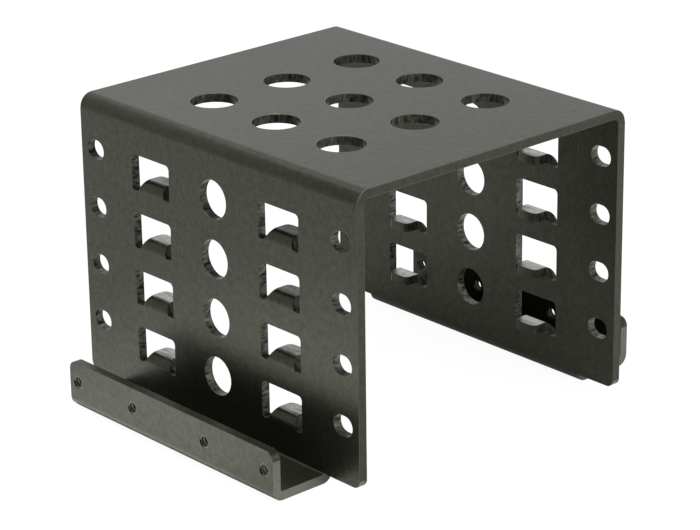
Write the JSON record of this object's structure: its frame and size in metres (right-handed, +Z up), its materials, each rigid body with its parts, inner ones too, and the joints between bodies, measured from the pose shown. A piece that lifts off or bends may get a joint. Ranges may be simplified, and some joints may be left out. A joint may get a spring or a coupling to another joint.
{
  "type": "drive mounting frame",
  "caption": "Folded sheet steel frame that stacks small drives between slotted side walls with bent rest tabs, and screws into a larger drive bay by tapped side rails.",
  "frame": {"origin": "middle of the frame's width and depth, in the plane that the two rail floors rest on", "axes": "+X across the frame to its right side, +Y from the open front to the rear along the drives, +Z up to the roof"},
  "size_m": [0.1016, 0.086, 0.064],
  "materials": {
    "black_coat": "satin black powder coat on steel sheet"
  },
  "bodies": {
    "root": {"top_panel": "black_coat", "left_side_wall": "black_coat", "left_mounting_rail": "black_coat", "left_front_rest_tab_1": "black_coat", "left_front_rest_tab_2": "black_coat", "left_front_rest_tab_3": "black_coat", "left_front_rest_tab_4": "black_coat", "left_rear_rest_tab_1": "black_coat", "left_rear_rest_tab_2": "black_coat", "left_rear_rest_tab_3": "black_coat", "left_rear_rest_tab_4": "black_coat", "right_side_wall": "black_coat", "right_mounting_rail": "black_coat", "right_front_rest_tab_1": "black_coat", "right_front_rest_tab_2": "black_coat", "right_front_rest_tab_3": "black_coat", "right_front_rest_tab_4": "black_coat", "right_rear_rest_tab_1": "black_coat", "right_rear_rest_tab_2": "black_coat", "right_rear_rest_tab_3": "black_coat", "right_rear_rest_tab_4": "black_coat"}
  },
  "joints": []
}
